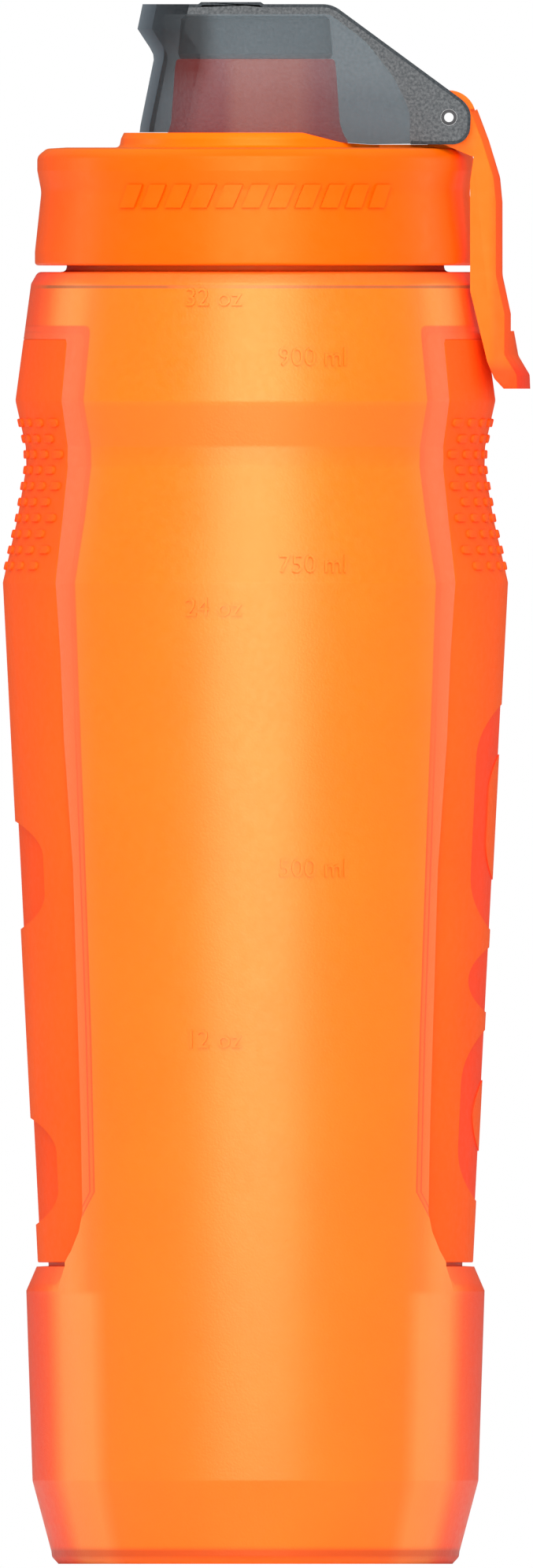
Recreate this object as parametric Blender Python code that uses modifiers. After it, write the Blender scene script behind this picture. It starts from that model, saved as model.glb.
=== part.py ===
"""Squeeze bottle with two rubber grip panels, a screw cap, a drinking nozzle under a flip cover, and a
carry loop that hangs from the cover's hinge. Metres, +Z up; the origin is the centre of the standing face.
+X points to the hinge side, -X to the side that the cover opens from."""

from math import asin, cos, hypot, pi, radians, sin

import bmesh
import bpy
from mathutils import Matrix, Vector

MM = 0.001
GAP = 0.3
TURN_STEPS = 40

# Bottle: outer outline as (radius, height), base to shoulder.
BODY_OUTLINE = [
    (33.4, 0.0),
    (34.2, 0.7),
    (34.6, 2.1),
    (37.8, 14.1),
    (38.85, 46.1),
    (42.85, 166.3),
    (40.4, 177.0),
    (38.85, 187.0),
    (39.1, 189.8),
    (40.7, 197.2),
    (38.05, 217.0),
    (37.0, 218.6),
    (35.8, 219.0),
]
WALL = 1.2
NECK_R = 32.0
NECK_BORE_R = 30.4
NECK_TOP = 235.4

# Thread: two starts, rising LEAD in a turn.
LEAD = 12.0
THREAD_STARTS = 2
RIDGE_ROOT = 2.4
RIDGE_CREST = 1.2
NECK_CREST_R = 33.3
NECK_RIDGE_LOW = 222.6
NECK_RIDGE_TURN = 0.62
CAP_CREST_R = 32.45
CAP_RIDGE_LOW = 222.4
CAP_RIDGE_TURN = 0.6

# Grip panels: face outline as (radius, height), and half-angle at each height.
PANEL_FACE = [
    (36.9, 51.1),
    (42.85, 166.3),
    (40.4, 177.0),
    (38.85, 187.0),
    (39.1, 189.8),
    (40.7, 197.2),
    (39.31, 207.6),
]
PANEL_HALF_ANGLE = [
    (34.0, 51.1),
    (36.6, 53.1),
    (39.8, 56.3),
    (41.4, 59.5),
    (41.6, 75.0),
    (41.1, 118.0),
    (39.0, 139.6),
    (38.5, 154.0),
    (37.4, 166.3),
    (35.6, 177.0),
    (34.6, 187.0),
    (35.8, 197.2),
    (35.5, 205.0),
    (34.8, 207.6),
]
PANEL_THICK = 1.5
PANEL_COLUMNS = 10
PANEL_LOW = 51.1
PANEL_HIGH = 207.6
LEDGE_HALF_ANGLE = [(30.2, 46.1), (34.2, 50.5)]
POCKET_LOW = 46.1
POCKET_HIGH = 207.9
POCKET_STEP = 1.75
POCKET_PROUD = 0.6
POCKET_SIDE_ANGLE = 0.5
BACKING_ANGLE = 47.5

# Nubs on each panel: staggered rows.
NUB_ROWS = 10
NUB_TOP = 193.5
NUB_PITCH = 2.71
NUB_STEP_ANGLE = 7.7
NUB_WIDE = 2.1
NUB_TALL = 1.3
NUB_PROUD = 0.42
NUB_SUNK = 0.8

# Screw cap.
CAP_OUTLINE = [
    (36.9, 220.1),
    (37.4, 220.8),
    (37.4, 221.8),
    (36.3, 233.0),
    (37.0, 235.9),
    (37.0, 238.0),
    (35.6, 239.4),
    (32.0, 240.1),
]
CAP_TOP = 240.1
CAP_CEILING = 237.2
CAP_BORE_R = 34.3
COLLAR_R = 22.8
COLLAR_TOP = 242.6
NOZZLE_SEAT_R = 16.0
NOZZLE_SEAT = 239.0
CAP_HOLE_R = 12.0

# Hinge: its axis runs along Y.
HINGE_X = 32.8
HINGE_Z = 245.2
PIN_R = 1.35
PIN_BORE_R = 0.8
PIN_HOLE_R = 1.45
PIN_HALF_LENGTH = 17.3
EAR_HALF_WIDTH = 10.2
EAR_R = 3.3
ARM_INNER_Y = 10.6
ARM_OUTER_Y = 14.4
COVER_HALF_WIDTH = 17.6
COVER_WALL = 1.6
# Between its lugs the cover ends here, clear of the loop's arms when both are swung out.
HINGE_ROOM_X = 27.4

BOTTLE_ORANGE = (1.0, 0.27, 0.06, 1.0)
CAP_ORANGE = (1.0, 0.20, 0.01, 1.0)
GRIP_ORANGE = (1.0, 0.15, 0.03, 1.0)
SMOKE_GREY = (0.12, 0.15, 0.17, 1.0)
SEAL_GREY = (0.16, 0.18, 0.19, 1.0)
CLEAR_WHITE = (0.85, 0.85, 0.82, 1.0)
PIN_BLACK = (0.02, 0.02, 0.02, 1.0)


def new_collection(name):
    collection = bpy.data.collections.new(name)
    bpy.context.scene.collection.children.link(collection)
    return collection


for old in list(bpy.data.objects):
    bpy.data.objects.remove(old, do_unlink=True)
PARTS = new_collection("squeeze_bottle")
CUTTERS = new_collection("cutters")


def material(name, colour, roughness):
    made = bpy.data.materials.new(name)
    made.use_nodes = True
    shader = made.node_tree.nodes["Principled BSDF"]
    shader.inputs["Base Color"].default_value = colour
    shader.inputs["Roughness"].default_value = roughness
    shader.inputs["Metallic"].default_value = 0.0
    made.diffuse_color = colour
    return made


def at_height(outline, z):
    """An outline of (value, height) pairs read at a height, on straight lines between its points."""
    for (low, z_low), (high, z_high) in zip(outline, outline[1:]):
        if z_low <= z <= z_high:
            return low + (high - low) * (z - z_low) / (z_high - z_low)
    return outline[0][0] if z < outline[0][1] else outline[-1][0]


def levels(low, high, *outlines):
    """The heights from low to high at which any of the outlines turns."""
    turns = {z for outline in outlines for _, z in outline if low < z < high}
    return sorted(turns | {low, high})


def place(mesh, name, collection):
    obj = bpy.data.objects.new(name, mesh)
    collection.objects.link(obj)
    if collection is CUTTERS:
        obj.hide_render = True
        obj.display_type = "WIRE"
    return obj


def from_bmesh(bm, name, collection):
    bmesh.ops.recalc_face_normals(bm, faces=bm.faces)
    mesh = bpy.data.meshes.new(name)
    bm.to_mesh(mesh)
    bm.free()
    return place(mesh, name, collection)


def turned(name, profile, collection, closed=True, steps=TURN_STEPS):
    """A profile of (radius, height) in mm turned about Z. It runs down its outer side."""
    bm = bmesh.new()
    points = [bm.verts.new((r * MM, 0.0, z * MM)) for r, z in profile]
    for a, b in zip(points, points[1:]):
        bm.edges.new((a, b))
    if closed:
        bm.edges.new((points[-1], points[0]))
    mesh = bpy.data.meshes.new(name)
    bm.to_mesh(mesh)
    bm.free()
    obj = place(mesh, name, collection)
    screw = obj.modifiers.new("Turn", "SCREW")
    screw.steps = steps
    screw.render_steps = steps
    screw.use_merge_vertices = True
    screw.merge_threshold = 0.00001
    return obj


def patch(name, rows, collection, side=1.0):
    """A curved slab about Z, lofted through rows of (height, inner radius, outer radius, inner half-angle,
    outer half-angle). Side is 1 for +X and -1 for -X."""
    bm = bmesh.new()
    grids = []
    for row in rows:
        z, r_in, r_out, a_in, a_out = row
        inner = []
        outer = []
        for i in range(PANEL_COLUMNS + 1):
            share = 2.0 * i / PANEL_COLUMNS - 1.0
            for line, radius, angle in ((inner, r_in, a_in), (outer, r_out, a_out)):
                turn = radians(angle * share)
                x = side * radius * cos(turn)
                y = radius * sin(turn)
                line.append(bm.verts.new((x * MM, y * MM, z * MM)))
        grids.append(inner + outer[::-1])
    count = len(grids[0])
    for low, high in zip(grids, grids[1:]):
        for i in range(count):
            j = (i + 1) % count
            bm.faces.new((low[i], low[j], high[j], high[i]))
    for ring in (grids[0], grids[-1]):
        for i in range(PANEL_COLUMNS):
            j = count - 1 - i
            bm.faces.new((ring[i], ring[i + 1], ring[j - 1], ring[j]))
    return from_bmesh(bm, name, collection)


def slab(name, outline, half_width, collection):
    """An outline of (x, z) in mm, extruded to both sides along Y."""
    curve = bpy.data.curves.new(name, "CURVE")
    curve.dimensions = "2D"
    curve.fill_mode = "BOTH"
    curve.extrude = half_width * MM
    spline = curve.splines.new("POLY")
    spline.points.add(len(outline) - 1)
    for point, (x, z) in zip(spline.points, outline):
        point.co = (x * MM, z * MM, 0.0, 1.0)
    spline.use_cyclic_u = True
    flat = bpy.data.objects.new(name + "_flat", curve)
    CUTTERS.objects.link(flat)
    flat.matrix_world = Matrix.Rotation(pi / 2, 4, "X")
    bpy.context.view_layer.update()
    graph = bpy.context.evaluated_depsgraph_get()
    mesh = bpy.data.meshes.new_from_object(flat.evaluated_get(graph))
    mesh.transform(flat.matrix_world)
    bpy.data.objects.remove(flat, do_unlink=True)
    bm = bmesh.new()
    bm.from_mesh(mesh)
    bpy.data.meshes.remove(mesh)
    bmesh.ops.remove_doubles(bm, verts=bm.verts, dist=0.00001)
    return from_bmesh(bm, name, collection)


def box(name, low, high, collection):
    bm = bmesh.new()
    bmesh.ops.create_cube(bm, size=1.0)
    middle = [(a + b) / 2 * MM for a, b in zip(low, high)]
    size = [(b - a) * MM for a, b in zip(low, high)]
    bmesh.ops.scale(bm, vec=size, verts=bm.verts)
    bmesh.ops.translate(bm, vec=middle, verts=bm.verts)
    return from_bmesh(bm, name, collection)


def rod_along_y(name, radius, y_low, y_high, x, z, collection, segments=24):
    bm = bmesh.new()
    bmesh.ops.create_cone(
        bm,
        cap_ends=True,
        segments=segments,
        radius1=radius * MM,
        radius2=radius * MM,
        depth=(y_high - y_low) * MM,
    )
    middle = Vector((x, (y_low + y_high) / 2, z)) * MM
    bm.transform(Matrix.Translation(middle) @ Matrix.Rotation(pi / 2, 4, "X"))
    return from_bmesh(bm, name, collection)


def boolean(obj, operation, *others):
    for other in others:
        modifier = obj.modifiers.new(other.name, "BOOLEAN")
        modifier.operation = operation
        modifier.object = other
        modifier.solver = "EXACT"
    return obj


def fixed(obj):
    """The object with its modifiers applied."""
    bpy.context.view_layer.update()
    graph = bpy.context.evaluated_depsgraph_get()
    mesh = bpy.data.meshes.new_from_object(obj.evaluated_get(graph))
    obj.modifiers.clear()
    obj.data = mesh
    return obj


def finish(obj, look, angle=32):
    """Applies the modifiers, gives the object its material and shades it smooth up to an angle in degrees."""
    fixed(obj)
    obj.data.materials.clear()
    obj.data.materials.append(look)
    obj.data.shade_smooth()
    obj.data.set_sharp_from_angle(angle=radians(angle))
    return obj


def hang_on(obj, x, z):
    """Puts an object's origin on an axis along Y through (x, z)."""
    origin = Vector((x * MM, 0.0, z * MM))
    obj.data.transform(Matrix.Translation(-origin))
    obj.location = origin


def ridge(name, root_r, crest_r, low, turn, start):
    """One thread ridge: a trapezium swept up its helix from a start angle."""
    bm = bmesh.new()
    sunk = root_r - 0.6 if crest_r > root_r else root_r + 0.6
    half_root = RIDGE_ROOT / 2
    half_crest = RIDGE_CREST / 2
    corners = [(sunk, -half_root), (root_r, -half_root), (crest_r, -half_crest)]
    corners += [(crest_r, half_crest), (root_r, half_root), (sunk, half_root)]
    points = []
    for r, z in corners:
        place_xy = (r * cos(start) * MM, r * sin(start) * MM)
        points.append(bm.verts.new((*place_xy, (z + low) * MM)))
    face = bm.faces.new(points)
    steps = round(TURN_STEPS * turn)
    rise = LEAD * turn / steps * MM
    bmesh.ops.spin(
        bm,
        geom=[face] + list(face.edges) + points,
        cent=(0.0, 0.0, 0.0),
        axis=(0.0, 0.0, 1.0),
        dvec=(0.0, 0.0, rise),
        angle=2 * pi * turn,
        steps=steps,
    )
    return from_bmesh(bm, name, CUTTERS)


def arc(x, z, radius, start, end, count):
    """Points on a circle, angles in degrees from +X towards +Z."""
    found = []
    for i in range(count + 1):
        turn = radians(start + (end - start) * i / count)
        found.append((x + radius * cos(turn), z + radius * sin(turn)))
    return found


def bottle_body(look):
    inner = [(r - WALL, max(z, WALL)) for r, z in BODY_OUTLINE[:-1]]
    inner[-2] = (BODY_OUTLINE[-3][0] - WALL, BODY_OUTLINE[-3][1] - 0.6)
    inner[-1] = (NECK_BORE_R + 0.6, BODY_OUTLINE[-1][1] - WALL)
    profile = [(NECK_BORE_R + 0.3, NECK_TOP), (NECK_R - 0.3, NECK_TOP), (NECK_R, NECK_TOP - 0.3)]
    profile += [(NECK_R, 219.6), (NECK_R + 0.4, 219.0)]
    profile += BODY_OUTLINE[::-1]
    profile += [(0.0, 0.0), (0.0, WALL)]
    profile += inner
    profile += [(NECK_BORE_R, 219.0), (NECK_BORE_R, NECK_TOP - 0.3)]
    body = turned("bottle_body", profile, PARTS)
    for side, word in ((-1.0, "front"), (1.0, "rear")):
        backing = patch(word + "_backing", backing_rows(), CUTTERS, side)
        boolean(body, "UNION", backing)
    for side, word in ((-1.0, "front"), (1.0, "rear")):
        pocket = patch(word + "_pocket", pocket_rows(), CUTTERS, side)
        boolean(body, "DIFFERENCE", pocket)
    for i in range(THREAD_STARTS):
        start = 2 * pi * i / THREAD_STARTS
        made = ridge("neck_ridge", NECK_R, NECK_CREST_R, NECK_RIDGE_LOW, NECK_RIDGE_TURN, start)
        boolean(body, "UNION", made)
    return finish(body, look)


def floor_r(z):
    """Radius of the pocket's floor behind a panel."""
    return at_height(PANEL_FACE, z) - PANEL_THICK - GAP


def pocket_half(z):
    """A pocket's half-angle: a little over the panel's, and below the panel that of the ledge."""
    if z < PANEL_LOW:
        return at_height(LEDGE_HALF_ANGLE, z)
    return at_height(PANEL_HALF_ANGLE, z) + POCKET_SIDE_ANGLE


def pocket_rows():
    """The cutter of a pocket: a ledge in from the base, then the floor behind the panel."""
    low_floor = PANEL_LOW - 2 * GAP
    floor = [(at_height(BODY_OUTLINE, POCKET_LOW) + 0.1, POCKET_LOW)]
    floor += [(at_height(BODY_OUTLINE, POCKET_LOW) - POCKET_STEP, low_floor - 0.1)]
    floor += [(floor_r(z), z) for z in levels(low_floor, POCKET_HIGH, PANEL_FACE[1:-1])]
    rows = []
    turns = [floor, BODY_OUTLINE, PANEL_HALF_ANGLE, LEDGE_HALF_ANGLE]
    for z in levels(POCKET_LOW, POCKET_HIGH, *turns):
        outer = at_height(BODY_OUTLINE, z) + POCKET_PROUD
        half = pocket_half(z)
        rows.append((z, at_height(floor, z), outer, half, half))
    return rows


def backing_rows():
    """The wall behind a pocket's floor, which runs into the bottle's wall above and below."""
    low = POCKET_LOW - 2.0
    high = POCKET_HIGH + 3.0
    sunk = WALL / 2
    back = [(at_height(BODY_OUTLINE, low) - WALL - GAP, low)]
    back += [(floor_r(z) - WALL, z) for z in levels(PANEL_LOW - 2.0, PANEL_HIGH + 1.0, PANEL_FACE[1:-1])]
    back += [(at_height(BODY_OUTLINE, high) - WALL - GAP, high)]
    rows = []
    for z in levels(low, high, back, BODY_OUTLINE):
        outer = at_height(BODY_OUTLINE, z) - sunk
        rows.append((z, at_height(back, z), outer, BACKING_ANGLE, BACKING_ANGLE))
    return rows


def grip_panel(word, side, look):
    rows = []
    for z in levels(PANEL_LOW, PANEL_HIGH, PANEL_FACE, PANEL_HALF_ANGLE):
        face = at_height(PANEL_FACE, z)
        half = at_height(PANEL_HALF_ANGLE, z)
        rows.append((z, face - PANEL_THICK, face, half, half))
    panel = patch(word + "_grip_panel", rows, PARTS, side)
    boolean(panel, "UNION", nubs(word, side))
    return finish(panel, look)


def nubs(word, side):
    bm = bmesh.new()
    for row in range(NUB_ROWS):
        z = NUB_TOP - NUB_PITCH * row
        half_shift = 0.5 * (row % 2)
        for column in range(-4, 5 - row % 2):
            angle = radians((column + half_shift) * NUB_STEP_ANGLE)
            made = bmesh.ops.create_cube(bm, size=1.0)["verts"]
            deep = NUB_PROUD + NUB_SUNK
            bmesh.ops.scale(bm, vec=(deep * MM, NUB_WIDE * MM, NUB_TALL * MM), verts=made)
            radius = at_height(PANEL_FACE, z) - NUB_SUNK + deep / 2
            bmesh.ops.translate(bm, vec=(radius * MM, 0.0, z * MM), verts=made)
            turn = angle if side > 0 else pi - angle
            bmesh.ops.rotate(bm, cent=(0, 0, 0), matrix=Matrix.Rotation(turn, 3, "Z"), verts=made)
    return from_bmesh(bm, word + "_nubs", CUTTERS)


def screw_cap(look):
    profile = [(0.0, CAP_TOP)]
    profile += CAP_OUTLINE[::-1]
    profile += [(CAP_BORE_R + 0.4, 220.1), (CAP_BORE_R, 220.6)]
    profile += [(CAP_BORE_R, CAP_CEILING), (0.0, CAP_CEILING)]
    cap = turned("screw_cap", profile, PARTS)
    boolean(cap, "UNION", collar(), ear())
    seat = plug("nozzle_seat", NOZZLE_SEAT_R, NOZZLE_SEAT, 250.0)
    hole = plug("cap_hole", CAP_HOLE_R, 230.0, 245.0)
    bore = rod_along_y("ear_bore", PIN_HOLE_R, -20, 20, HINGE_X, HINGE_Z, CUTTERS)
    boolean(cap, "DIFFERENCE", seat, hole, bore)
    for i in range(THREAD_STARTS):
        start = 2 * pi * (i + 0.5) / THREAD_STARTS
        made = ridge("cap_ridge", CAP_BORE_R, CAP_CREST_R, CAP_RIDGE_LOW, CAP_RIDGE_TURN, start)
        boolean(cap, "UNION", made)
    return finish(cap, look)


def plug(name, radius, low, high):
    """A cutter with a round section about Z."""
    profile = [(0.0, high), (radius, high), (radius, low), (0.0, low)]
    return turned(name, profile, CUTTERS, closed=False)


def collar():
    """The raised disc round the nozzle: level towards -X, then an S-curve down towards the hinge."""
    profile = [(0.0, 250.0), (COLLAR_R, 250.0), (COLLAR_R, 241.0), (COLLAR_R + 0.5, 240.3)]
    profile += [(COLLAR_R + 0.9, 239.6), (0.0, 239.6)]
    disc = turned("collar", profile, CUTTERS, closed=False)
    top = [(-30.0, COLLAR_TOP), (6.1, COLLAR_TOP), (9.0, 242.3), (12.5, 241.4), (16.0, 240.6), (19.5, 240.25)]
    top += [(30.0, 240.25), (30.0, 239.0), (-30.0, 239.0)]
    boolean(disc, "INTERSECT", slab("collar_top", top, 30.0, CUTTERS))
    return fixed(disc)


def ear():
    outline = arc(HINGE_X, HINGE_Z, EAR_R, 0, 180, 10)
    outline += [(HINGE_X - EAR_R - 0.6, 239.2), (HINGE_X + 0.6, 239.2), (HINGE_X + EAR_R, 242.0)]
    return slab("ear", outline, EAR_HALF_WIDTH, CUTTERS)


def neck_gasket(look):
    low = NECK_TOP + GAP
    high = CAP_CEILING - GAP
    ring = [(29.8, high), (32.6, high), (32.9, high - 0.3), (32.9, low + 0.3), (32.6, low), (29.8, low)]
    return finish(turned("neck_gasket", ring, PARTS), look)


def spout_nozzle(look):
    low = NOZZLE_SEAT + GAP
    profile = [(9.5, 254.8), (9.8, 255.1), (12.9, 255.1), (13.4, 254.8), (13.6, 254.1)]
    profile += [(14.25, 244.6), (14.5, 243.4), (15.0, 242.2), (15.65, 241.2), (15.65, low)]
    profile += [(12.3, low), (12.3, 243.0), (11.9, 246.0), (11.9, 252.8), (9.5, 252.8)]
    return finish(turned("spout_nozzle", profile, PARTS), look)


def slit_valve(look):
    profile = [(0.0, 251.2), (6.5, 251.2), (7.5, 252.2), (8.4, 252.5), (11.55, 252.5), (11.55, 250.6)]
    profile += [(8.6, 250.6), (7.6, 250.3), (6.9, 249.9), (0.0, 249.9)]
    valve = turned("slit_valve", profile, PARTS, closed=False, steps=32)
    for i in range(2):
        cut = box("slit", (-5.0, -0.15, 245.0), (5.0, 0.15, 255.0), CUTTERS)
        cut.rotation_euler = (0.0, 0.0, pi / 4 + i * pi / 2)
        boolean(valve, "DIFFERENCE", cut)
    return finish(valve, look)


def valve_retainer(look):
    ring = [(9.4, 250.3), (11.55, 250.3), (11.55, 247.6), (11.2, 247.2), (9.4, 247.2)]
    return finish(turned("valve_retainer", ring, PARTS, steps=32), look)


def nose_loft(name, rows, half_width, wide, collection):
    """A block whose front end is a faceted nose, lofted through rows of (height, x of the nose). Wide is
    the half-width of the nose's flat."""
    corners = [(0.0, wide), (2.4, wide + 0.45 * (half_width - wide))]
    corners += [(5.4, wide + 0.8 * (half_width - wide)), (7.9, half_width)]
    bm = bmesh.new()
    rings = []
    for z, nose in rows:
        side = [(nose + back, y) for back, y in corners] + [(45.0, half_width)]
        ring = side + [(x, -y) for x, y in side[::-1]]
        rings.append([bm.verts.new((x * MM, y * MM, z * MM)) for x, y in ring])
    count = len(rings[0])
    for low, high in zip(rings, rings[1:]):
        for i in range(count):
            j = (i + 1) % count
            bm.faces.new((low[i], low[j], high[j], high[i]))
    bm.faces.new(rings[0])
    bm.faces.new(rings[-1])
    return from_bmesh(bm, name, collection)


# Cover: where its nose is at each height, outside and inside.
COVER_FRONT = [(238.0, -20.2), (243.9, -19.5), (255.5, -17.2), (257.0, -17.8), (260.2, -20.0)]
COVER_FRONT += [(264.1, -19.2), (266.0, -18.8)]
CAVITY_FRONT = [(236.0, -18.9), (244.0, -17.9), (255.5, -15.5), (264.0, -15.5)]


def cover_side():
    """The cover seen from the side: it follows the collar below, and slopes down to its hinge behind."""
    outline = [(-26.0, 264.4), (-9.6, 264.4), (-9.2, 264.75), (0.9, 264.75), (1.3, 264.4), (10.8, 264.4)]
    outline += [(13.4, 263.6), (16.2, 261.9), (18.6, 260.3)]
    outline += arc(HINGE_X, HINGE_Z, 3.75, 53.0, -75.0, 8)
    outline += [(31.5, 240.95), (19.5, 240.6), (16.0, 240.95), (12.5, 241.75), (9.0, 242.65), (6.1, 242.95)]
    outline += [(-26.0, 242.95)]
    return outline


def cavity_side():
    outline = [(-26.0, 262.7), (12.0, 262.7), (13.7, 261.9), (18.7, 258.1), (21.9, 254.1), (24.4, 250.2)]
    outline += [(25.9, 247.2), (26.2, 245.2), (26.2, 236.0), (-26.0, 236.0)]
    return outline


def flip_cover(look):
    cover = nose_loft("flip_cover", COVER_FRONT, COVER_HALF_WIDTH, 7.0, PARTS)
    boolean(cover, "INTERSECT", slab("cover_side", cover_side(), 30.0, CUTTERS))
    cavity = nose_loft("cover_cavity", CAVITY_FRONT, COVER_HALF_WIDTH - COVER_WALL, 6.0, CUTTERS)
    boolean(cavity, "INTERSECT", slab("cavity_side", cavity_side(), 30.0, CUTTERS))
    room_y = ARM_OUTER_Y + GAP
    hinge_room = box("hinge_room", (HINGE_ROOM_X, -room_y, 236.0), (45.0, room_y, 270.0), CUTTERS)
    bore = rod_along_y("cover_bore", PIN_HOLE_R, -20, 20, HINGE_X, HINGE_Z, CUTTERS)
    boolean(cover, "DIFFERENCE", fixed(cavity), hinge_room, bore)
    finish(cover, look, 20)
    hang_on(cover, HINGE_X, HINGE_Z)
    return cover


def cover_seal(look):
    profile = [(0.0, 262.4), (11.5, 262.4), (12.0, 261.8), (13.1, 256.2), (12.7, 255.7), (8.4, 255.7)]
    profile += [(8.0, 254.2), (7.4, 253.8), (0.0, 253.8)]
    seal = finish(turned("cover_seal", profile, PARTS, closed=False, steps=32), look)
    hang_on(seal, HINGE_X, HINGE_Z)
    return seal


def hinge_pin(look):
    ring = [(PIN_BORE_R, PIN_HALF_LENGTH), (PIN_R, PIN_HALF_LENGTH)]
    ring += [(PIN_R, -PIN_HALF_LENGTH), (PIN_BORE_R, -PIN_HALF_LENGTH)]
    pin = finish(turned("hinge_pin", ring, PARTS, steps=24), look)
    pin.data.transform(Matrix.Rotation(pi / 2, 4, "X"))
    pin.location = (HINGE_X * MM, 0.0, HINGE_Z * MM)
    return pin


LOOP_OUTER = [
    (46.6, 199.2),
    (46.2, 202.2),
    (44.5, 205.1),
    (43.0, 213.5),
    (41.9, 218.5),
    (41.9, 231.0),
    (41.2, 235.8),
    (39.4, 241.5),
]
LOOP_BAR_TOP = 209.0
LOOP_INNER = [(42.1, 199.2), (40.5, 200.8), (39.4, 203.6), (36.4, 216.2), (36.4, 234.1), (37.0, 238.5)]


def carry_loop(look):
    outline = LOOP_OUTER + arc(HINGE_X, HINGE_Z, 4.6, 10.0, 250.0, 14) + LOOP_INNER[::-1]
    loop = slab("carry_loop", outline, ARM_OUTER_Y, PARTS)
    inner = [(0.0, 238.5)]
    inner += [(hypot(x, ARM_OUTER_Y), z) for x, z in LOOP_INNER[::-1]]
    inner += [(hypot(42.1, ARM_OUTER_Y), 190.0), (0.0, 190.0)]
    inner_cut = turned("loop_inner", inner, CUTTERS, closed=False, steps=72)
    outer = [(0.0, 260.0), (60.0, 260.0), (60.0, 245.0)]
    for x, z in LOOP_OUTER[::-1]:
        reach = ARM_INNER_Y if z > 210.0 else 2.0
        outer.append((hypot(x, reach), z))
    outer += [(46.7, 190.0), (0.0, 190.0)]
    outer_keep = turned("loop_outer", outer, CUTTERS, closed=False, steps=72)
    boolean(loop, "DIFFERENCE", inner_cut)
    boolean(loop, "INTERSECT", outer_keep)
    window = box("loop_window", (20.0, -ARM_INNER_Y, LOOP_BAR_TOP), (60.0, ARM_INNER_Y, 260.0), CUTTERS)
    bore = rod_along_y("loop_bore", PIN_HOLE_R, -20, 20, HINGE_X, HINGE_Z, CUTTERS)
    boolean(loop, "DIFFERENCE", window, bore)
    finish(loop, look)
    hang_on(loop, HINGE_X, HINGE_Z)
    return loop


grip = material("grip_rubber", GRIP_ORANGE, 0.55)
cap_plastic = material("cap_plastic", CAP_ORANGE, 0.35)
seal_rubber = material("seal_rubber", SEAL_GREY, 0.6)
bottle_body(material("bottle_plastic", BOTTLE_ORANGE, 0.4))
grip_panel("front", -1.0, grip)
grip_panel("rear", 1.0, grip)
screw_cap(cap_plastic)
neck_gasket(material("gasket_silicone", CLEAR_WHITE, 0.5))
spout_nozzle(material("nozzle_rubber", CAP_ORANGE, 0.5))
slit_valve(material("valve_silicone", CLEAR_WHITE, 0.4))
valve_retainer(material("retainer_plastic", CLEAR_WHITE, 0.4))
flip_cover(material("cover_plastic", SMOKE_GREY, 0.3))
cover_seal(seal_rubber)
hinge_pin(material("pin_plastic", PIN_BLACK, 0.4))
carry_loop(material("loop_plastic", CAP_ORANGE, 0.4))
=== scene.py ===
from math import acos, cos, hypot, pi, radians, sin, sqrt, tan

import bmesh
import bpy
from mathutils import Matrix, Vector


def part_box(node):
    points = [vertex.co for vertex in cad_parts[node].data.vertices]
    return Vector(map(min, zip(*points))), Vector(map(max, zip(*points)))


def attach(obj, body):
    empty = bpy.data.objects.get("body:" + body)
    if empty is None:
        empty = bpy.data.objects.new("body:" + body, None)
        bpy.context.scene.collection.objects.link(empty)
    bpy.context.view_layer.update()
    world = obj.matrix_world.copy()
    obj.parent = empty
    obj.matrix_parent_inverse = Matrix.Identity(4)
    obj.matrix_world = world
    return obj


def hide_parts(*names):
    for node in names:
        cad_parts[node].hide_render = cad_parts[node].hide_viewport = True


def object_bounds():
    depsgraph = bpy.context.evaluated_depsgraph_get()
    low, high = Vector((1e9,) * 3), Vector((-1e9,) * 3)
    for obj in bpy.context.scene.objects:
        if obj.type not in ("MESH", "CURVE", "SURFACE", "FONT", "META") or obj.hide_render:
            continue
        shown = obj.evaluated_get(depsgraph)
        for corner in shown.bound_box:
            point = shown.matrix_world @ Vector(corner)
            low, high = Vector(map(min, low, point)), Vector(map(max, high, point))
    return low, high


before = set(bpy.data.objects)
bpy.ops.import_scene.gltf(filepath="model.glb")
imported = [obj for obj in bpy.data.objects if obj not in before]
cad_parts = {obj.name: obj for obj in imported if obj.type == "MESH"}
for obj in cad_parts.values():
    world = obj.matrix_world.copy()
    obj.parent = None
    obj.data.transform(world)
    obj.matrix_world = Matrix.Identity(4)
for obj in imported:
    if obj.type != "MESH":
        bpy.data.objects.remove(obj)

CAD_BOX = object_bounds()
MM = 0.001


def low(node, axis):
    """A CAD node's lowest coordinate along an axis, in mm."""
    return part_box(node)[0][axis] / MM


def high(node, axis):
    """A CAD node's highest coordinate along an axis, in mm."""
    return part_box(node)[1][axis] / MM


# ---- Sizes, in mm ------------------------------

BODY_R = high("bottle_body", 1)
BODY_STEPS = 192
NECK_TOP = high("bottle_body", 2)
NECK_R = 32.0
NECK_BORE_R = 30.4
WALL = 1.2
SHOULDER = NECK_TOP - 16.4
# Where the wall inside steps back to the neck, which shows as a thin broken line.
LINE_HEIGHT = 216.5
THREAD_LEAD = 12.0
THREAD_STARTS = 2

# The bottle's outside as (radius, height, how far its corner is rounded).
BODY_OUTLINE = [
    (33.4, 0.0, 0.9),
    (34.5, 1.2, 1.0),
    (34.6, 2.1, 0.0),
    (37.8, 14.1, 1.6),
    (38.85, 46.1, 8.0),
    (BODY_R, 166.3, 2.2),
    (40.4, 177.0, 9.0),
    (38.85, 186.0, 4.0),
    (38.95, 189.4, 3.0),
    (40.7, 197.2, 2.0),
    (38.05, 217.0, 1.0),
    (36.9, SHOULDER, 1.1),
    (34.0, SHOULDER, 0.0),
]

PANEL_THICK = 1.5
PANEL_GAP = 0.3
PANEL_LOW = low("front_grip_panel", 2)
PANEL_HIGH = high("front_grip_panel", 2)
PANEL_FOOT_R = 36.9
PANEL_EDGE_ROUND = 0.22
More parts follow.
